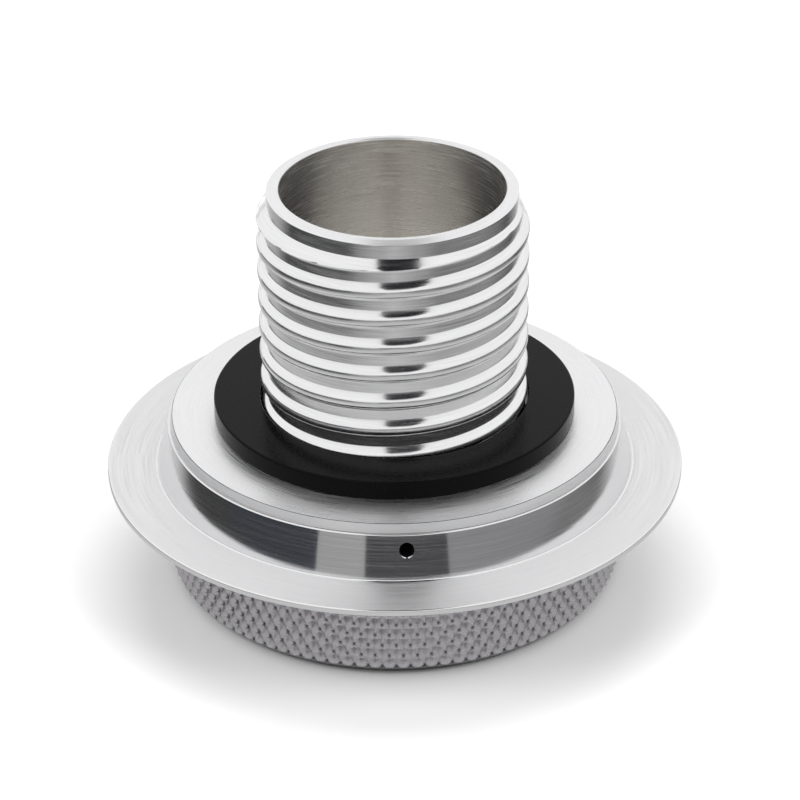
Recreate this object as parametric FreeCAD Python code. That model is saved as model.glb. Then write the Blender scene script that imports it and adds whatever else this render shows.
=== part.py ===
import FreeCAD, Part
import math
import os

# Vented screw-in fuel cap, neck upwards as it lies on its grip face. Millimetres, +Z along the neck,
# origin in the middle of the grip face, -Y is the side with the vent hole.

# Grip, flange and flaring wall
GRIP_RADIUS = 33.4
GRIP_EDGE_CHAMFER = 2.0
FLANGE_RADIUS = 42.0
FLANGE_TOP_Z = 17.2
FLANGE_THICKNESS = 0.9
WALL_BASE_RADIUS = 34.8
WALL_TOP_RADIUS = 33.05
WALL_HEIGHT = 6.4

# Step above the wall, on which the gasket lies, narrowing upwards like the wall
STEP_RADIUS = 32.7
STEP_HEIGHT = 1.4
STEP_TAPER = 0.35

# Neck and its thread
NECK_HEIGHT = 35.4
NECK_BORE_RADIUS = 15.95
NECK_FLOOR_HEIGHT = 3.0
LIP_RADIUS = 17.75
LIP_HEIGHT = 2.5
MOUTH_EDGE_BREAK = 0.3
THREAD_CREST_RADIUS = 19.3
THREAD_DEPTH = 1.2
THREAD_PITCH = 4.3
THREAD_RIDGE_BASE = 2.4
THREAD_RIDGE_CREST = 1.1
THREAD_RIDGE_SINK = 0.1
THREAD_CREST_AT_FRONT = 7.03
THREAD_FOOT_GAP = 0.2

# Rubber ring at the foot of the neck
GASKET_RADIUS = 26.15
GASKET_THICKNESS = 2.7
GASKET_CLEARANCE = 0.15

# Vent passage: a hole from the wall meets a blind bore on the axis
VENT_HOLE_RADIUS = 1.05
VENT_HEIGHT_ABOVE_FLANGE = 4.3
VENT_ANGLE_DEG = 2.6
VENT_BORE_RADIUS = 2.0
VENT_BORE_END_GAP = 0.3

# Roll-over vent valve: its plunger drops onto the seat when the neck points up
VALVE_RADIUS = 3.6
VALVE_FIT_CLEARANCE = 0.03
VALVE_MOUTH_RADIUS = 1.7
VALVE_MOUTH_LIP = 0.6
VALVE_CAVITY_RADIUS = 2.1
VALVE_SEAT_HOLE_RADIUS = 0.9
VALVE_SEAT_LAND = 1.0
PLUNGER_RADIUS = 1.95
PLUNGER_FLATS = 2.9
PLUNGER_TIP_RADIUS = 0.5
PLUNGER_GUIDE_LENGTH = 1.0
PLUNGER_LIFT = 1.0
PLUNGER_CLEARANCE = 0.04

# Levels and radii worked out from the sizes above
WALL_TOP_Z = FLANGE_TOP_Z + WALL_HEIGHT
STEP_TOP_Z = WALL_TOP_Z + STEP_HEIGHT
RIM_Z = STEP_TOP_Z + NECK_HEIGHT
LIP_BASE_Z = RIM_Z - LIP_HEIGHT
FLOOR_Z = STEP_TOP_Z + NECK_FLOOR_HEIGHT
VENT_Z = FLANGE_TOP_Z + VENT_HEIGHT_ABOVE_FLANGE
VENT_BORE_END_Z = VENT_Z - VENT_HOLE_RADIUS - VENT_BORE_END_GAP
THREAD_ROOT_RADIUS = THREAD_CREST_RADIUS - THREAD_DEPTH
CAVITY_TOP_Z = FLOOR_Z - VALVE_MOUTH_LIP
PLUNGER_TOP_Z = CAVITY_TOP_Z - PLUNGER_LIFT - PLUNGER_CLEARANCE
PLUNGER_NOSE_Z = PLUNGER_TOP_Z - PLUNGER_GUIDE_LENGTH
PLUNGER_TIP_Z = PLUNGER_NOSE_Z - (PLUNGER_RADIUS - PLUNGER_TIP_RADIUS)
SEAT_Z = PLUNGER_TIP_Z + VALVE_SEAT_HOLE_RADIUS - PLUNGER_TIP_RADIUS - PLUNGER_CLEARANCE
VALVE_BOTTOM_Z = SEAT_Z - VALVE_SEAT_LAND

AXIS = FreeCAD.Vector(0, 0, 1)
CENTRE = FreeCAD.Vector(0, 0, 0)


def turned(outline):
    """Solid of revolution about Z from (radius, height) corners."""
    corners = [FreeCAD.Vector(radius, 0, height) for radius, height in outline]
    wire = Part.makePolygon(corners + corners[:1])
    return Part.Face(wire).revolve(CENTRE, AXIS, 360)


def vent_drill():
    """Radial drill from the bore on the axis out through the wall, just beside the front."""
    angle = math.radians(VENT_ANGLE_DEG)
    outward = FreeCAD.Vector(math.sin(angle), -math.cos(angle), 0)
    return Part.makeCylinder(VENT_HOLE_RADIUS, FLANGE_RADIUS, AXIS * VENT_Z, outward)


def under_lip_cone_z(radius):
    """Height of the 45 degree cone that ends the thread below the plain lip."""
    return LIP_BASE_Z - (radius - LIP_RADIUS)


def thread_ridge():
    """Right-hand ridge from inside the gasket's height up to the cone below the lip."""
    foot_z = STEP_TOP_Z + THREAD_FOOT_GAP + THREAD_RIDGE_BASE / 2
    head_z = LIP_BASE_Z + THREAD_RIDGE_BASE / 2
    start_angle = 270 + 360 * (foot_z - STEP_TOP_Z - THREAD_CREST_AT_FRONT) / THREAD_PITCH
    inner_radius = THREAD_ROOT_RADIUS - THREAD_RIDGE_SINK
    corners = [
        FreeCAD.Vector(inner_radius, 0, THREAD_RIDGE_BASE / 2),
        FreeCAD.Vector(THREAD_CREST_RADIUS, 0, THREAD_RIDGE_CREST / 2),
        FreeCAD.Vector(THREAD_CREST_RADIUS, 0, -THREAD_RIDGE_CREST / 2),
        FreeCAD.Vector(inner_radius, 0, -THREAD_RIDGE_BASE / 2),
    ]
    section = Part.makePolygon(corners + corners[:1])
    path = Part.makeHelix(THREAD_PITCH, head_z - foot_z, THREAD_ROOT_RADIUS)
    ridge = Part.Wire(path.Edges).makePipeShell([section], True, True)
    ridge.translate(FreeCAD.Vector(0, 0, foot_z))
    ridge.rotate(CENTRE, AXIS, start_angle)
    room_radius = THREAD_CREST_RADIUS + THREAD_DEPTH
    room = turned([
        (NECK_BORE_RADIUS, STEP_TOP_Z),
        (room_radius, STEP_TOP_Z),
        (room_radius, under_lip_cone_z(room_radius)),
        (NECK_BORE_RADIUS, under_lip_cone_z(NECK_BORE_RADIUS)),
    ])
    return ridge.common(room)


def cap_body():
    """Grip, flange, wall, step and hollow neck, turned from one piece."""
    flange_bottom_z = FLANGE_TOP_Z - FLANGE_THICKNESS
    valve_hole_radius = VALVE_RADIUS + VALVE_FIT_CLEARANCE
    body = turned([
        (0, 0),
        (GRIP_RADIUS - GRIP_EDGE_CHAMFER, 0),
        (GRIP_RADIUS, GRIP_EDGE_CHAMFER),
        (GRIP_RADIUS, flange_bottom_z),
        (FLANGE_RADIUS, flange_bottom_z),
        (FLANGE_RADIUS, FLANGE_TOP_Z),
        (WALL_BASE_RADIUS, FLANGE_TOP_Z),
        (WALL_TOP_RADIUS, WALL_TOP_Z),
        (STEP_RADIUS, WALL_TOP_Z),
        (STEP_RADIUS - STEP_TAPER, STEP_TOP_Z),
        (THREAD_ROOT_RADIUS, STEP_TOP_Z),
        (THREAD_ROOT_RADIUS, under_lip_cone_z(THREAD_ROOT_RADIUS)),
        (LIP_RADIUS, LIP_BASE_Z),
        (LIP_RADIUS, RIM_Z),
        (NECK_BORE_RADIUS + MOUTH_EDGE_BREAK, RIM_Z),
        (NECK_BORE_RADIUS, RIM_Z - MOUTH_EDGE_BREAK),
        (NECK_BORE_RADIUS, FLOOR_Z),
        (valve_hole_radius, FLOOR_Z),
        (valve_hole_radius, VALVE_BOTTOM_Z),
        (VENT_BORE_RADIUS, VALVE_BOTTOM_Z),
        (VENT_BORE_RADIUS, VENT_BORE_END_Z),
        (0, VENT_BORE_END_Z),
    ])
    return body.fuse(thread_ridge()).cut(vent_drill())


def seal_gasket():
    inner_radius = THREAD_CREST_RADIUS + GASKET_CLEARANCE
    return turned([
        (inner_radius, STEP_TOP_Z),
        (GASKET_RADIUS, STEP_TOP_Z),
        (GASKET_RADIUS, STEP_TOP_Z + GASKET_THICKNESS),
        (inner_radius, STEP_TOP_Z + GASKET_THICKNESS),
    ])


def vent_valve_body():
    """Bush flush with the neck's floor, with a 45 degree seat below and a rolled-in mouth above."""
    seat_height = VALVE_CAVITY_RADIUS - VALVE_SEAT_HOLE_RADIUS
    return turned([
        (VALVE_SEAT_HOLE_RADIUS, VALVE_BOTTOM_Z),
        (VALVE_RADIUS, VALVE_BOTTOM_Z),
        (VALVE_RADIUS, FLOOR_Z),
        (VALVE_MOUTH_RADIUS, FLOOR_Z),
        (VALVE_MOUTH_RADIUS, CAVITY_TOP_Z),
        (VALVE_CAVITY_RADIUS, CAVITY_TOP_Z),
        (VALVE_CAVITY_RADIUS, SEAT_Z + seat_height),
        (VALVE_SEAT_HOLE_RADIUS, SEAT_Z),
    ])


def vent_plunger():
    """Turned plunger with four flats that let air past, so that only its corners are held by the mouth."""
    blank = turned([
        (0, PLUNGER_TIP_Z),
        (PLUNGER_TIP_RADIUS, PLUNGER_TIP_Z),
        (PLUNGER_RADIUS, PLUNGER_NOSE_Z),
        (PLUNGER_RADIUS, PLUNGER_TOP_Z),
        (0, PLUNGER_TOP_Z),
    ])
    corner = FreeCAD.Vector(-PLUNGER_FLATS / 2, -PLUNGER_FLATS / 2, PLUNGER_TIP_Z)
    return blank.common(Part.makeBox(PLUNGER_FLATS, PLUNGER_FLATS, PLUNGER_TOP_Z - PLUNGER_TIP_Z, corner))


os.makedirs("parts", exist_ok=True)
for make in (cap_body, seal_gasket, vent_valve_body, vent_plunger):
    make().exportStep("parts/" + make.__name__ + ".step")
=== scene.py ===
import math

import bmesh
import bpy
import numpy as np
from mathutils import Matrix, Vector


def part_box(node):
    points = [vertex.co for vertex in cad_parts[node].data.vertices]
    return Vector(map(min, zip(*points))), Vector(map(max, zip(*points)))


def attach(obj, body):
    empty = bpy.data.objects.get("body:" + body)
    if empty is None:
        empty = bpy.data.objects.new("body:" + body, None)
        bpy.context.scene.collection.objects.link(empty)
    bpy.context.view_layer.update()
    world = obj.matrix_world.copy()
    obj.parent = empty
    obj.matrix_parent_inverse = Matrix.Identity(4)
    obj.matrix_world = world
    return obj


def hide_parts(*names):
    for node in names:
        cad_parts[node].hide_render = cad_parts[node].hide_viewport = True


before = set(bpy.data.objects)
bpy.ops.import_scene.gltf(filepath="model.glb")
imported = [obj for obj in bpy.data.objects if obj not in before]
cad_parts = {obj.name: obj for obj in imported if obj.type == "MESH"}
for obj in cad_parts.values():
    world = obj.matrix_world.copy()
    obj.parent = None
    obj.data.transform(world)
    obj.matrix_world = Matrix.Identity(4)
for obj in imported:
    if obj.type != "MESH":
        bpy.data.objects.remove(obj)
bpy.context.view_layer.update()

MM = 0.001

# Sizes of the cap in millimetres, as in the part's source
GRIP_RADIUS = 33.4
GRIP_CHAMFER = 2.0
FLANGE_RADIUS = 42.0
FLANGE_TOP = 17.2
FLANGE_THICKNESS = 0.9
WALL_BASE_RADIUS = 34.8
WALL_TOP_RADIUS = 33.05
STEP_RADIUS = 32.7
STEP_TAPER = 0.35
STEP_HEIGHT = 1.4
BORE_RADIUS = 15.95
LIP_RADIUS = 17.75
LIP_HEIGHT = 2.5
THREAD_CREST_RADIUS = 19.3
THREAD_PITCH = 4.3
THREAD_CREST_AT_FRONT = 7.03
GASKET_INNER_RADIUS = 19.45
GASKET_RADIUS = 26.15
VENT_RADIUS = 1.05
VENT_HEIGHT = 21.5
VENT_ANGLE = math.radians(2.6)
VENT_BORE_RADIUS = 2.0
VENT_BORE_END = 20.15
VALVE_HOLE_RADIUS = 3.63
VALVE_HOLE_END = 23.27

# Levels read from the frame
STEP_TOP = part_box("seal_gasket")[0].z / MM
GASKET_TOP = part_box("seal_gasket")[1].z / MM
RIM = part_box("cap_body")[1].z / MM
NECK_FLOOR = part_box("vent_valve_body")[1].z / MM
LIP_BASE = RIM - LIP_HEIGHT
WALL_TOP = STEP_TOP - STEP_HEIGHT

# Finer forms than the part's source has: bevelled rim, rounder and shallower thread, groove, countersink
RIM_FLAT_RADIUS = 16.8
RIM_BEVEL = 0.4
THREAD_ROOT_RADIUS = 18.35
THREAD_RIDGE_RADIUS = 0.84
THREAD_CREST_LAND = 0.4
THREAD_FLANK = math.radians(50)
THREAD_FOOT_ROUND = 0.35
LEDGE_GROOVE = 0.14
VENT_SINK_START = 0.17
VENT_SINK_WIDTH = 0.4
VENT_SINK_ANGLE = math.radians(32)

# Knurl: diamonds round the grip, height and depth of one, and the share of its depth up to its flat tip
KNURL_COUNT = 104
KNURL_HEIGHT = 3.4
KNURL_DEPTH = 0.75
KNURL_TIP = 0.95
KNURL_PIT_LEVEL = 8.6
KNURL_TOP = 15.6
KNURL_RUN_OUT = 0.6
KNURL_FOOT = 1.0

# Roundings of the edges
RIM_OUTER_ROUND = 0.1
RIM_BEVEL_ROUND = 0.2
MOUTH_ROUND = 0.3
NECK_FLOOR_ROUND = 0.5
VALVE_HOLE_ROUND = 0.15
STEP_ROUND = 0.12
LEDGE_ROUND = 0.15
CORNER_ROUND = 0.22
FLANGE_UNDER_ROUND = 0.15
GRIP_TOP_ROUND = 0.2
GRIP_FOOT_ROUND = 0.15
GASKET_FOOT_ROUND = 0.15
GASKET_TOP_ROUND = 0.25
GASKET_INNER_ROUND = 0.2

# Flat band on both sides of a rounded edge, so that the faces next to it shade flat
EDGE_BAND = 0.05

# Edges turn sharp beyond this angle, and points closer than this are welded
SHARP_ANGLE = math.radians(28)
WELD_DISTANCE = 0.0005

# Points round the axis, and across the foot, ridge and root of the thread
BASE_COUNT = 4 * KNURL_COUNT
NECK_COUNT = BASE_COUNT // 2
GASKET_COUNT = 256
VENT_COUNT = 48
KNURL_LEVELS = 8
FOOT_COUNT = 4
RIDGE_COUNT = 12
ROOT_COUNT = 9

# Turns of the thread before it is cut off at both ends, and how many of them start below the step
THREAD_TURNS = 10
THREAD_TURNS_BELOW = 2

# Share of a turn from +X to the front of the cap
FRONT_TURN = 0.75

# Plain rings inside flat faces
UNDER_GASKET_RADIUS = 19.95
GRIP_CHAMFER_LEVEL = 0.6
GRIP_FACE_RADII = (29.4, 24.0, 16.0, 8.0, 2.0)


# Mesh helpers

def rounded(outline, steps=4):
    """Points from (radius, height, edge radius) corners: arcs, each between two narrow bands."""
    points = []
    for index, (radius, height, edge) in enumerate(outline):
        corner = np.array((radius, height))
        if edge == 0:
            points.append(corner)
            continue
        back = np.array(outline[index - 1][:2]) - corner
        ahead = np.array(outline[index + 1][:2]) - corner
        back /= np.linalg.norm(back)
        ahead /= np.linalg.norm(ahead)
        half = math.acos(np.clip(back @ ahead, -1, 1)) / 2
        middle = (back + ahead) / np.linalg.norm(back + ahead)
        centre = corner + middle * edge / math.sin(half)
        reach = edge / math.tan(half)
        first = corner + back * reach - centre
        last = corner + ahead * reach - centre
        points.append(corner + back * (reach + EDGE_BAND))
        for step in range(steps + 1):
            share = step / steps
            arm = first * (1 - share) + last * share
            points.append(centre + arm / np.linalg.norm(arm) * edge)
        points.append(corner + ahead * (reach + EDGE_BAND))
    return points


class Shell:
    """Rings of points about the Z axis, in millimetres, joined into one surface."""

    def __init__(self):
        self.points = []
        self.faces = []

    def add(self, radius, angle, height):
        start = len(self.points)
        radius, angle, height = np.broadcast_arrays(radius, angle, height)
        self.points.extend(zip(radius * np.cos(angle), radius * np.sin(angle), height))
        return np.arange(start, len(self.points))

    def ring(self, radius, height, count):
        return self.add(radius, np.arange(count) * 2 * math.pi / count, height)

    def join(self, lower, upper):
        for a, b, c, d in zip(lower, np.roll(lower, -1), np.roll(upper, -1), upper):
            self.faces.append((a, b, c, d))

    def join_double(self, coarse, fine):
        """Joins a ring to one with twice as many points."""
        for index, (a, b) in enumerate(zip(coarse, np.roll(coarse, -1))):
            c, d, e = fine[2 * index], fine[2 * index + 1], fine[(2 * index + 2) % len(fine)]
            self.faces.extend([(a, d, c), (a, b, d), (b, e, d)])

    def turn(self, start, outline, count):
        """Goes on from a ring along an outline and returns the last ring."""
        for radius, height in outline:
            ring = self.ring(radius, height, count)
            if start is not None:
                self.join(start, ring)
            start = ring
        return start

    def close(self, ring, height):
        tip = self.ring(0.0, height, 1)[0]
        for a, b in zip(ring, np.roll(ring, -1)):
            self.faces.append((a, b, tip))

    def build(self, name):
        mesh = bpy.data.meshes.new(name)
        points = [Vector(point) * MM for point in self.points]
        faces = [tuple(map(int, face)) for face in self.faces]
        mesh.from_pydata(points, [], faces)
        work = bmesh.new()
        work.from_mesh(mesh)
        bmesh.ops.remove_doubles(work, verts=work.verts, dist=WELD_DISTANCE * MM)
        bmesh.ops.dissolve_degenerate(work, edges=work.edges, dist=WELD_DISTANCE * MM)
        bmesh.ops.recalc_face_normals(work, faces=work.faces)
        work.to_mesh(mesh)
        work.free()
        mesh.shade_smooth()
        mesh.set_sharp_from_angle(angle=SHARP_ANGLE)
        piece = bpy.data.objects.new(name, mesh)
        bpy.context.scene.collection.objects.link(piece)
        return piece


# Cap body

def thread_section():
    """(radius, offset) across one pitch: a round ridge, sloping above and with a hollow foot below."""
    centre = THREAD_CREST_RADIUS - THREAD_RIDGE_RADIUS
    foot_radius = THREAD_ROOT_RADIUS + THREAD_FOOT_ROUND
    foot_drop = math.sqrt((THREAD_RIDGE_RADIUS + THREAD_FOOT_ROUND) ** 2 - (foot_radius - centre) ** 2)
    foot_offset = -THREAD_CREST_LAND - foot_drop
    lowest = math.atan2(-foot_drop, foot_radius - centre)
    points = []
    for turn in np.linspace(math.pi, math.pi + lowest, FOOT_COUNT):
        radius = foot_radius + THREAD_FOOT_ROUND * math.cos(turn)
        points.append((radius, foot_offset + THREAD_FOOT_ROUND * math.sin(turn)))
    for turn in np.linspace(lowest, THREAD_FLANK, RIDGE_COUNT)[1:]:
        offset = THREAD_RIDGE_RADIUS * math.sin(turn) - (THREAD_CREST_LAND if turn < 0 else 0)
        points.append((centre + THREAD_RIDGE_RADIUS * math.cos(turn), offset))
    radius, offset = points[-1]
    head_offset = offset + (radius - THREAD_ROOT_RADIUS) / math.tan(THREAD_FLANK)
    points.append(((radius + THREAD_ROOT_RADIUS) / 2, (offset + head_offset) / 2))
    for offset in np.linspace(head_offset, foot_offset + THREAD_PITCH, ROOT_COUNT)[:-1]:
        points.append((THREAD_ROOT_RADIUS, offset))
    return points


def add_thread(shell):
    """Rows that follow the helix, cut off flat at the step and by the cone below the lip."""
    section = thread_section()
    start = STEP_TOP + THREAD_CREST_AT_FRONT - (FRONT_TURN + THREAD_TURNS_BELOW) * THREAD_PITCH
    angle = np.arange(NECK_COUNT) * 2 * math.pi / NECK_COUNT
    climb = THREAD_PITCH * np.arange(NECK_COUNT) / NECK_COUNT
    rows = []
    for turn in range(THREAD_TURNS):
        for radius, offset in section:
            height = start + turn * THREAD_PITCH + offset + climb
            radius = np.minimum(radius, LIP_RADIUS + np.maximum(LIP_BASE - height, 0))
            radius = np.where(height <= STEP_TOP, THREAD_ROOT_RADIUS, radius)
            rows.append(shell.add(radius, angle, np.clip(height, STEP_TOP, LIP_BASE)))
    per_turn = len(section)
    for index in range(len(rows) - 1):
        lower, upper = rows[index], rows[index + 1]
        for column in range(NECK_COUNT - 1):
            shell.faces.append((lower[column], lower[column + 1], upper[column + 1], upper[column]))
        if index + per_turn + 1 < len(rows):
            ahead, above = rows[index + per_turn], rows[index + per_turn + 1]
            shell.faces.append((lower[-1], ahead[0], above[0], upper[-1]))


def knurl_height(around, along):
    """1 at a diamond's tip, 0 where grooves cross, from counts of diamonds round the grip and along it."""
    first = np.abs((around + along + 0.5) % 1 - 0.5)
    second = np.abs((around - along + 0.5) % 1 - 0.5)
    return 1 - np.maximum(first, second) - (first + second) / 2


def grip_radius(angle, height):
    around = angle * KNURL_COUNT / (2 * math.pi)
    along = (height - KNURL_PIT_LEVEL) / KNURL_HEIGHT + 0.5
    run_out = np.clip((KNURL_TOP - height) / KNURL_RUN_OUT, 0, 1)
    drop = 1 - np.minimum(knurl_height(around, along), KNURL_TIP)
    return np.minimum(GRIP_RADIUS - KNURL_DEPTH * run_out * drop, GRIP_RADIUS - GRIP_CHAMFER + height)


def add_grip(shell, start):
    """Knurled band from the flange down into the chamfer at the foot."""
    angle = np.arange(BASE_COUNT) * 2 * math.pi / BASE_COUNT
    step = KNURL_HEIGHT / KNURL_LEVELS
    top = KNURL_PIT_LEVEL + step * math.floor((KNURL_TOP - KNURL_PIT_LEVEL) / step)
    ring = shell.turn(start, [(GRIP_RADIUS, KNURL_TOP)], BASE_COUNT)
    for height in np.arange(top, KNURL_FOOT, -step):
        following = shell.add(grip_radius(angle, height), angle, height)
        split_join(shell, ring, following)
        ring = following
    return ring


def split_join(shell, upper, lower):
    """Triangles between two rings, each quad split along the diagonal that keeps grooves sharp."""
    points = shell.points
    for a, b, c, d in zip(upper, np.roll(upper, -1), np.roll(lower, -1), lower):
        reach = [math.hypot(points[k][0], points[k][1]) for k in (a, b, c, d)]
        if reach[0] + reach[2] < reach[1] + reach[3]:
            shell.faces.extend([(a, b, c), (a, c, d)])
        else:
            shell.faces.extend([(a, b, d), (b, c, d)])


def cap_shell():
    shell = Shell()
    add_thread(shell)
    lip = rounded([
        (LIP_RADIUS, LIP_BASE, 0),
        (LIP_RADIUS, RIM - RIM_BEVEL, RIM_OUTER_ROUND),
        (RIM_FLAT_RADIUS, RIM, RIM_BEVEL_ROUND),
        (BORE_RADIUS, RIM, MOUTH_ROUND),
        (BORE_RADIUS, NECK_FLOOR, NECK_FLOOR_ROUND),
        (VALVE_HOLE_RADIUS, NECK_FLOOR, VALVE_HOLE_ROUND),
        (VALVE_HOLE_RADIUS, VALVE_HOLE_END, 0),
        (VENT_BORE_RADIUS, VALVE_HOLE_END, 0),
        (VENT_BORE_RADIUS, VENT_BORE_END, 0),
    ])
    shell.close(shell.turn(None, lip, NECK_COUNT), VENT_BORE_END)
    neck_foot = shell.ring(THREAD_ROOT_RADIUS, STEP_TOP, NECK_COUNT)
    under_gasket = shell.ring(GASKET_INNER_RADIUS, STEP_TOP, BASE_COUNT)
    shell.join_double(neck_foot, under_gasket)
    flange_bottom = FLANGE_TOP - FLANGE_THICKNESS
    outside = rounded([
        (UNDER_GASKET_RADIUS, STEP_TOP, 0),
        (STEP_RADIUS - STEP_TAPER, STEP_TOP, STEP_ROUND),
        (STEP_RADIUS, WALL_TOP, 0),
        (STEP_RADIUS, WALL_TOP - LEDGE_GROOVE, 0),
        (STEP_RADIUS + LEDGE_GROOVE, WALL_TOP - LEDGE_GROOVE, 0),
        (STEP_RADIUS + LEDGE_GROOVE, WALL_TOP, 0),
        (WALL_TOP_RADIUS, WALL_TOP, LEDGE_ROUND),
        (WALL_BASE_RADIUS, FLANGE_TOP, CORNER_ROUND),
        (FLANGE_RADIUS, FLANGE_TOP, CORNER_ROUND),
        (FLANGE_RADIUS, flange_bottom, FLANGE_UNDER_ROUND),
        (GRIP_RADIUS, flange_bottom, GRIP_TOP_ROUND),
        (GRIP_RADIUS, KNURL_TOP + 2 * EDGE_BAND, 0),
    ])
    ring = add_grip(shell, shell.turn(under_gasket, outside, BASE_COUNT))
    foot_radius = GRIP_RADIUS - GRIP_CHAMFER
    below = [
        (foot_radius + GRIP_CHAMFER_LEVEL, GRIP_CHAMFER_LEVEL, 0),
        (foot_radius, 0, GRIP_FOOT_ROUND),
    ]
    below += [(radius, 0, 0) for radius in GRIP_FACE_RADII]
    shell.close(shell.turn(ring, rounded(below), BASE_COUNT), 0)
    return shell


def vent_cutter():
    """Drill with a steep countersink, which breaks the lower edge of the hole in the sloping wall."""
    share = (VENT_HEIGHT - FLANGE_TOP) / (WALL_TOP - FLANGE_TOP)
    wall = WALL_BASE_RADIUS + (WALL_TOP_RADIUS - WALL_BASE_RADIUS) * share
    sink_start = wall + VENT_SINK_START
    sink_end = sink_start + VENT_SINK_WIDTH / math.tan(VENT_SINK_ANGLE)
    shell = Shell()
    inner_end = VENT_BORE_RADIUS / 4
    inner = shell.ring(VENT_RADIUS, inner_end, VENT_COUNT)
    shell.close(inner, inner_end)
    outline = [(VENT_RADIUS, sink_start), (VENT_RADIUS + VENT_SINK_WIDTH, sink_end)]
    outer = shell.turn(inner, outline, VENT_COUNT)
    shell.close(outer, sink_end)
    cutter = shell.build("vent_cutter")
    outward = Vector((math.sin(VENT_ANGLE), -math.cos(VENT_ANGLE), 0))
    turn = outward.to_track_quat("Z", "Y").to_matrix().to_4x4()
    cutter.data.transform(Matrix.Translation((0, 0, VENT_HEIGHT * MM)) @ turn)
    return cutter


def cut_vent(piece):
    cutter = vent_cutter()
    drill = piece.modifiers.new("vent", "BOOLEAN")
    drill.operation = "DIFFERENCE"
    drill.solver = "EXACT"
    drill.object = cutter
    bpy.context.view_layer.objects.active = piece
    bpy.ops.object.modifier_apply(modifier=drill.name)
    bpy.data.objects.remove(cutter)
    piece.data.set_sharp_from_angle(angle=SHARP_ANGLE)


# Gasket

def gasket_shell():
    shell = Shell()
    outline = rounded([
        (GASKET_INNER_RADIUS, STEP_TOP, 0),
        (GASKET_RADIUS, STEP_TOP, GASKET_FOOT_ROUND),
        (GASKET_RADIUS, GASKET_TOP, GASKET_TOP_ROUND),
        (GASKET_INNER_RADIUS, GASKET_TOP, GASKET_INNER_ROUND),
        (GASKET_INNER_RADIUS, STEP_TOP, 0),
    ])
    shell.turn(None, outline, GASKET_COUNT)
    return shell


# Materials

# Range in which most of a noise lies, and how far the tool lines drift per radian, in metres
NOISE_RANGE = (0.3, 0.7)
LINE_DRIFT = 0.0007

# Tool lines per millimetre, how dark they get, and how far they change the gloss
LINES_PER_MM = 4.0
LINE_DARKENING = 0.82
LINE_GLOSS_CHANGE = 0.25

# Share of the knurl's depth below which its pits are painted dark, as painted shade
KNURL_PIT_SHADE_SHARE = 0.72

# A face is told from the next by more than this, in millimetres
FACE_TOLERANCE = 0.01


def new_material(name):
    material = bpy.data.materials.new(name)
    material.use_nodes = True
    nodes, links = material.node_tree.nodes, material.node_tree.links
    return material, nodes, links, nodes["Principled BSDF"]


def radius_from_axis(nodes, links):
    place = nodes.new("ShaderNodeTexCoord")
    flat = nodes.new("ShaderNodeVectorMath")
    flat.operation = "MULTIPLY"
    flat.inputs[1].default_value = (1, 1, 0)
    links.new(place.outputs["Object"], flat.inputs[0])
    radius = nodes.new("ShaderNodeVectorMath")
    radius.operation = "LENGTH"
    links.new(flat.outputs[0], radius.inputs[0])
    return radius.outputs["Value"]


def turned_lines(nodes, links, per_mm, detail):
    """Noise in fine rings about the axis: it changes quickly along radius and height and slowly round."""
    place = nodes.new("ShaderNodeTexCoord")
    split = nodes.new("ShaderNodeSeparateXYZ")
    links.new(place.outputs["Object"], split.inputs[0])
    angle = nodes.new("ShaderNodeMath")
    angle.operation = "ARCTAN2"
    links.new(split.outputs["Y"], angle.inputs[0])
    links.new(split.outputs["X"], angle.inputs[1])
    slow = nodes.new("ShaderNodeMath")
    slow.operation = "MULTIPLY"
    slow.inputs[1].default_value = LINE_DRIFT
    links.new(angle.outputs[0], slow.inputs[0])
    rings = nodes.new("ShaderNodeCombineXYZ")
    links.new(radius_from_axis(nodes, links), rings.inputs["X"])
    links.new(split.outputs["Z"], rings.inputs["Y"])
    links.new(slow.outputs[0], rings.inputs["Z"])
    noise = nodes.new("ShaderNodeTexNoise")
    noise.inputs["Scale"].default_value = per_mm / MM
    noise.inputs["Detail"].default_value = detail
    links.new(rings.outputs[0], noise.inputs["Vector"])
    return noise.outputs["Fac"]


def ranged(nodes, links, value, low, high):
    scale = nodes.new("ShaderNodeMapRange")
    scale.inputs["From Min"].default_value = NOISE_RANGE[0]
    scale.inputs["From Max"].default_value = NOISE_RANGE[1]
    scale.inputs["To Min"].default_value = low
    scale.inputs["To Max"].default_value = high
    links.new(value, scale.inputs["Value"])
    return scale.outputs["Result"]


def tinted(nodes, links, value, dark, light):
    mix = nodes.new("ShaderNodeMix")
    mix.data_type = "RGBA"
    mix.inputs["A"].default_value = (*dark, 1)
    mix.inputs["B"].default_value = (*light, 1)
    links.new(value, mix.inputs["Factor"])
    return mix.outputs["Result"]


def bumped(nodes, links, shader, height, depth):
    bump = nodes.new("ShaderNodeBump")
    bump.inputs["Distance"].default_value = depth * MM
    links.new(height, bump.inputs["Height"])
    links.new(bump.outputs["Normal"], shader.inputs["Normal"])


def aluminium(name, tint, rough, anisotropic, line_depth):
    """Turned metal: fine rings in colour, gloss and height, and blurred reflections across the rings."""
    material, nodes, links, shader = new_material(name)
    shader.inputs["Metallic"].default_value = 1
    shader.inputs["Anisotropic"].default_value = anisotropic
    shader.inputs["Anisotropic Rotation"].default_value = 0.25
    tangent = nodes.new("ShaderNodeTangent")
    tangent.direction_type = "RADIAL"
    tangent.axis = "Z"
    links.new(tangent.outputs[0], shader.inputs["Tangent"])
    lines = turned_lines(nodes, links, LINES_PER_MM, 3)
    dark = [LINE_DARKENING * part for part in tint]
    links.new(tinted(nodes, links, lines, dark, tint), shader.inputs["Base Color"])
    change = LINE_GLOSS_CHANGE * rough
    links.new(ranged(nodes, links, lines, rough - change, rough + change), shader.inputs["Roughness"])
    bumped(nodes, links, shader, lines, line_depth)
    return material


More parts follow.
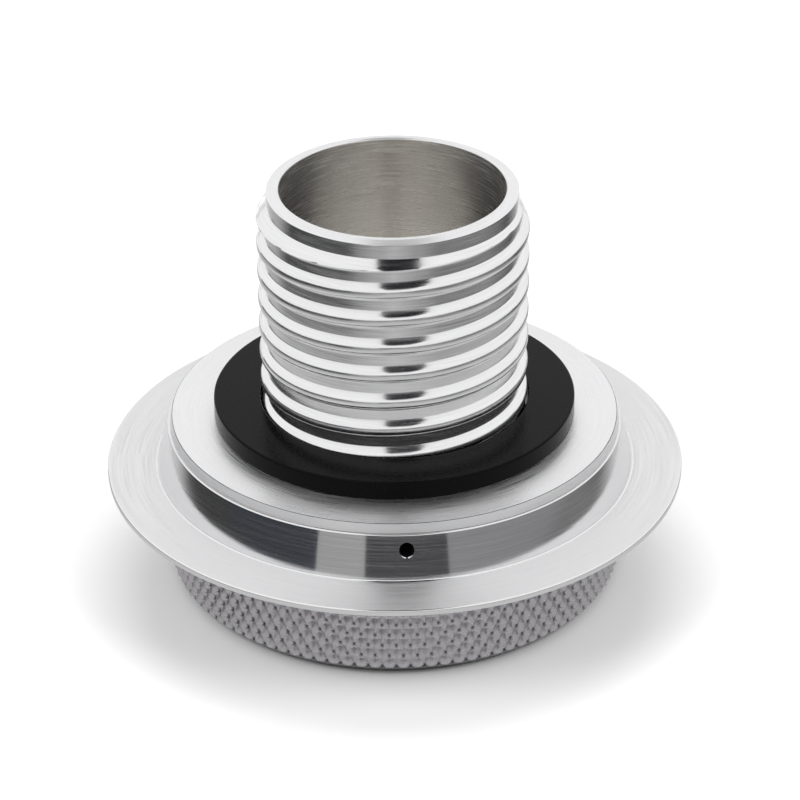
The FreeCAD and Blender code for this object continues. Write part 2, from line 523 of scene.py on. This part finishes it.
def knurled_aluminium_painted_shade(name):
    """Pressed metal in a dull grey, darkened partly as painted shade under the flange, with painted shade
    in the pits between the diamonds.
    """
    material, nodes, links, shader = new_material(name)
    shader.inputs["Metallic"].default_value = 1
    depth = nodes.new("ShaderNodeMapRange")
    depth.inputs["From Min"].default_value = (GRIP_RADIUS - KNURL_DEPTH) * MM
    depth.inputs["From Max"].default_value = (GRIP_RADIUS - KNURL_PIT_SHADE_SHARE * KNURL_DEPTH) * MM
    links.new(radius_from_axis(nodes, links), depth.inputs["Value"])
    # Painted shade: the pits go near black by depth, and the diamonds' grey is partly a dull pressed
    # finish and partly painted shade under the flange
    painted_pit_shade_colour = (0.015, 0.015, 0.016)
    dull_tip_and_flange_shade_colour = (0.52, 0.505, 0.525)
    colour = tinted(nodes, links, depth.outputs["Result"], painted_pit_shade_colour, dull_tip_and_flange_shade_colour)
    links.new(colour, shader.inputs["Base Color"])
    grain = nodes.new("ShaderNodeTexNoise")
    grain.inputs["Scale"].default_value = 5 / MM
    links.new(ranged(nodes, links, grain.outputs["Fac"], 0.18, 0.28), shader.inputs["Roughness"])
    bumped(nodes, links, shader, grain.outputs["Fac"], 0.003)
    return material


def finish_of(centre):
    """Name of the finish of a face of the body."""
    radius = math.hypot(centre.x, centre.y) / MM
    height = centre.z / MM
    step_edge = STEP_RADIUS - STEP_TAPER
    if height < FLANGE_TOP - FLANGE_THICKNESS - FACE_TOLERANCE:
        return "knurled" if radius > GRIP_RADIUS - GRIP_CHAMFER else "turned"
    if radius > step_edge:
        on_wall = radius < WALL_BASE_RADIUS + CORNER_ROUND and height < WALL_TOP
        on_rim = radius > FLANGE_RADIUS - CORNER_ROUND
        return "polished" if on_wall or on_rim else "coarse"
    # Faces deep in the holes below the step get a near-black metal: painted shade inside the holes
    if height < STEP_TOP - FACE_TOLERANCE:
        return "painted_shade_hole"
    if radius < BORE_RADIUS + FACE_TOLERANCE:
        return "bored"
    on_face = height < STEP_TOP + FACE_TOLERANCE or height > RIM - RIM_BEVEL
    return "satin" if on_face else "turned"


def paint_body(piece):
    finishes = {
        "turned": aluminium("turned_aluminium", (0.92, 0.92, 0.925), 0.16, 0.8, 0.011),
        "polished": aluminium("polished_aluminium", (0.92, 0.92, 0.925), 0.1, 0.6, 0.003),
        "coarse": aluminium("coarse_turned_aluminium", (0.945, 0.945, 0.955), 0.46, 0.9, 0.003),
        "satin": aluminium("satin_aluminium", (0.92, 0.92, 0.93), 0.31, 0.7, 0.003),
        "bored": aluminium("bored_aluminium", (0.97, 0.955, 0.93), 0.25, 0.7, 0.0015),
        # Near-black metal for the insides of the holes: painted shade, not the metal's own colour
        "painted_shade_hole": aluminium("drilled_aluminium_painted_shade", (0.04, 0.04, 0.042), 0.6, 0.0, 0.0015),
        "knurled": knurled_aluminium_painted_shade("knurled_aluminium_painted_shade"),
    }
    piece.data.materials.clear()
    for material in finishes.values():
        piece.data.materials.append(material)
    order = list(finishes)
    for face in piece.data.polygons:
        face.material_index = order.index(finish_of(face.center))


def rubber():
    material, nodes, links, shader = new_material("black_rubber")
    place = nodes.new("ShaderNodeTexCoord")
    speckle = nodes.new("ShaderNodeTexNoise")
    speckle.inputs["Scale"].default_value = 2.2 / MM
    speckle.inputs["Detail"].default_value = 3
    links.new(place.outputs["Object"], speckle.inputs["Vector"])
    dark = (0.001, 0.0011, 0.0011)
    light = (0.003, 0.0031, 0.0031)
    colour = tinted(nodes, links, speckle.outputs["Fac"], dark, light)
    links.new(colour, shader.inputs["Base Color"])
    shader.inputs["Specular IOR Level"].default_value = 0.07
    links.new(ranged(nodes, links, speckle.outputs["Fac"], 0.16, 0.3), shader.inputs["Roughness"])
    bumped(nodes, links, shader, speckle.outputs["Fac"], 0.012)
    return material


def turned_metal(name, dark, light, rough):
    material, nodes, links, shader = new_material(name)
    shader.inputs["Metallic"].default_value = 1
    lines = turned_lines(nodes, links, 6.0, 2)
    links.new(tinted(nodes, links, lines, dark, light), shader.inputs["Base Color"])
    links.new(ranged(nodes, links, lines, rough, rough + 0.12), shader.inputs["Roughness"])
    bumped(nodes, links, shader, lines, 0.0008)
    return material


def paint(piece, material):
    piece.data.materials.clear()
    piece.data.materials.append(material)


# Pieces on their bodies

body = cap_shell().build("turned_body")
cut_vent(body)
paint_body(body)
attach(body, "cap")
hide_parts("cap_body")

gasket = gasket_shell().build("rubber_gasket")
paint(gasket, rubber())
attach(gasket, "cap")
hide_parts("seal_gasket")

brass = turned_metal("turned_brass", (0.62, 0.45, 0.18), (0.74, 0.57, 0.27), 0.2)
paint(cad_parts["vent_valve_body"], brass)

steel = turned_metal("turned_steel", (0.5, 0.5, 0.51), (0.62, 0.62, 0.63), 0.22)
paint(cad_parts["vent_plunger"], steel)


# Floor, light and what the metal reflects

# Cards that only reflections show, in metres and degrees round the cap: 0 at the camera, right positive
GAP_ACROSS = (-0.0195, 0.033)
GAP_HEIGHT = 0.15
FENCE_RADIUS = 0.16
FENCE_LEVELS = (0.001, 0.03)
FLOOR_CARD_LEVEL = 0.0004
FLOOR_CARD_RADII = (0.036, 0.086, 0.106, 0.25)

# Brightness of the floor card: one value near the cap, and by degrees beyond the radius where that ends
FLOOR_NEAR_SHADE = 0.6
FLOOR_NEAR_END = 0.1
FLOOR_SHADES = (
    (-180, 0.9), (-140, 0.5), (-118, 0.4), (-100, 0.05), (-40, 0.055), (0, 0.54),
    (38, 0.15), (85, 0.19), (120, 0.08), (140, 0.37), (160, 0.85), (180, 0.9),
)


def white_in_view(nodes, links):
    """1 for rays from the camera and for reflections and see-through rays, 0 for light on the object."""
    path = nodes.new("ShaderNodeLightPath")
    largest = path.outputs["Is Camera Ray"]
    for name in ("Is Glossy Ray", "Is Transmission Ray"):
        step = nodes.new("ShaderNodeMath")
        step.operation = "MAXIMUM"
        links.new(largest, step.inputs[0])
        links.new(path.outputs[name], step.inputs[1])
        largest = step.outputs[0]
    return largest


def make_world(fill):
    world = bpy.data.worlds.new("studio")
    bpy.context.scene.world = world
    world.use_nodes = True
    nodes, links = world.node_tree.nodes, world.node_tree.links
    background = nodes["Background"]
    background.inputs["Color"].default_value = (1, 1, 1, 1)
    strength = nodes.new("ShaderNodeMapRange")
    strength.inputs["To Min"].default_value = fill
    strength.inputs["To Max"].default_value = 1
    links.new(white_in_view(nodes, links), strength.inputs["Value"])
    links.new(strength.outputs["Result"], background.inputs["Strength"])


def make_floor():
    bpy.ops.mesh.primitive_plane_add(size=40)
    floor = bpy.context.object
    floor.name = "floor"
    material, nodes, links, shader = new_material("pale_floor")
    shader.inputs["Base Color"].default_value = (0.93, 0.93, 0.93, 1)
    shader.inputs["Roughness"].default_value = 1
    shader.inputs["Specular IOR Level"].default_value = 0
    paint(floor, material)


def make_lamp(name, place, size, watts):
    data = bpy.data.lights.new(name, "AREA")
    data.size = size
    data.energy = watts
    lamp = bpy.data.objects.new(name, data)
    lamp.location = place
    lamp.rotation_mode = "QUATERNION"
    lamp.rotation_quaternion = (-Vector(place)).to_track_quat("-Z", "Y")
    lamp.visible_camera = False
    lamp.visible_glossy = False
    bpy.context.scene.collection.objects.link(lamp)


def card_material(name, colour):
    material = bpy.data.materials.new(name)
    material.use_nodes = True
    nodes, links = material.node_tree.nodes, material.node_tree.links
    nodes.remove(nodes["Principled BSDF"])
    glow = nodes.new("ShaderNodeEmission")
    glow.inputs["Color"].default_value = (*colour, 1)
    links.new(glow.outputs[0], nodes["Material Output"].inputs["Surface"])
    return material


def make_fence_card(name, azimuths, colour):
    """Low upright card round the cap, seen only in reflections."""
    steps = 24
    points, faces = [], []
    for column in range(steps + 1):
        azimuth = math.radians(azimuths[0] + (azimuths[1] - azimuths[0]) * column / steps)
        for level in FENCE_LEVELS:
            points.append((FENCE_RADIUS * math.sin(azimuth), -FENCE_RADIUS * math.cos(azimuth), level))
    for column in range(steps):
        a = 2 * column
        faces.append((a, a + 1, a + 3, a + 2))
    stage_card(name, points, faces, colour)


def make_gap_card(name, along, colour):
    """Flat card overhead, seen only in reflections: the dark round the camera."""
    points = [(x, y, GAP_HEIGHT) for y in along for x in GAP_ACROSS]
    stage_card(name, points, [(0, 1, 3, 2)], colour)


def make_floor_card():
    """Shaded card lying just above the floor, seen only in reflections."""
    azimuths = np.linspace(-180, 180, 181)
    far = np.interp(azimuths, *zip(*FLOOR_SHADES))
    points, shades = [], []
    for radius in FLOOR_CARD_RADII:
        for azimuth, shade in zip(np.radians(azimuths), far):
            points.append((radius * math.sin(azimuth), -radius * math.cos(azimuth), FLOOR_CARD_LEVEL))
            shades.append(FLOOR_NEAR_SHADE if radius < FLOOR_NEAR_END else shade)
    row = len(azimuths)
    faces = []
    for ring in range(len(FLOOR_CARD_RADII) - 1):
        for column in range(row - 1):
            a = ring * row + column
            faces.append((a, a + 1, a + row + 1, a + row))
    card = stage_card("floor_card", points, faces, (1, 1, 1))
    layer = card.data.color_attributes.new("shade", "FLOAT_COLOR", "POINT")
    layer.data.foreach_set("color", [part for shade in shades for part in (shade, shade, shade, 1)])
    nodes, links = card.active_material.node_tree.nodes, card.active_material.node_tree.links
    shade = nodes.new("ShaderNodeVertexColor")
    shade.layer_name = layer.name
    links.new(shade.outputs["Color"], nodes["Emission"].inputs["Color"])


def stage_card(name, points, faces, colour):
    mesh = bpy.data.meshes.new(name)
    mesh.from_pydata(points, [], faces)
    card = bpy.data.objects.new(name, mesh)
    bpy.context.scene.collection.objects.link(card)
    paint(card, card_material(name, colour))
    card.visible_camera = False
    card.visible_diffuse = False
    card.visible_shadow = False
    card.visible_transmission = False
    return card


make_world(0.5)
make_floor()
make_lamp("key_left", (-0.7, -0.35, 0.8), 0.6, 5)
make_lamp("key_right", (0.7, -0.35, 0.8), 0.6, 5)
make_lamp("top_back", (0.0, 0.5, 1.0), 0.8, 6)
make_gap_card("camera_gap", (-0.092, 0.004), (0.012, 0.012, 0.014))
make_gap_card("camera_gap_edge", (-0.125, -0.092), (0.1, 0.1, 0.105))
make_gap_card("camera_gap_end", (-0.18, -0.125), (0.5, 0.5, 0.505))
make_fence_card("fence_left", (-130, -32), (0.045, 0.05, 0.06))
make_fence_card("fence_strip", (-32, -12.2), (0.36, 0.36, 0.36))
make_fence_card("fence_front", (-12.2, 21.2), (0.06, 0.06, 0.065))
make_fence_card("fence_right", (21.2, 110), (0.25, 0.25, 0.26))
make_floor_card()


# Camera at the photograph's angle, for an 800 x 800 frame

def make_camera():
    frame_px = 800
    focal_px = 2957.4
    distance = 434.6 * MM
    elevation = math.radians(30.76)
    roll = math.radians(-0.422)
    centre_px = (394.3, 451.4)
    aim = Vector((0, 0, FLANGE_TOP * MM))
    forward = Vector((0, math.cos(elevation), -math.sin(elevation)))
    right = Vector((1, 0, 0))
    up = right.cross(forward)
    place = aim - forward * distance
    forward -= right * ((centre_px[0] - frame_px / 2) / focal_px)
    forward += up * ((centre_px[1] - frame_px / 2) / focal_px)
    forward.normalize()
    right = forward.cross(Vector((0, 0, 1))).normalized()
    up = right.cross(forward)
    rolled_right = right * math.cos(roll) + up * math.sin(roll)
    rolled_up = up * math.cos(roll) - right * math.sin(roll)
    data = bpy.data.cameras.new("camera")
    data.sensor_width = 36
    data.lens = focal_px * data.sensor_width / frame_px
    data.clip_start = 0.01
    camera = bpy.data.objects.new("camera", data)
    turn = Matrix((rolled_right, rolled_up, -forward)).transposed().to_4x4()
    camera.matrix_world = Matrix.Translation(place) @ turn
    bpy.context.scene.collection.objects.link(camera)
    bpy.context.scene.camera = camera


make_camera()
bpy.context.scene.view_settings.view_transform = "Standard"
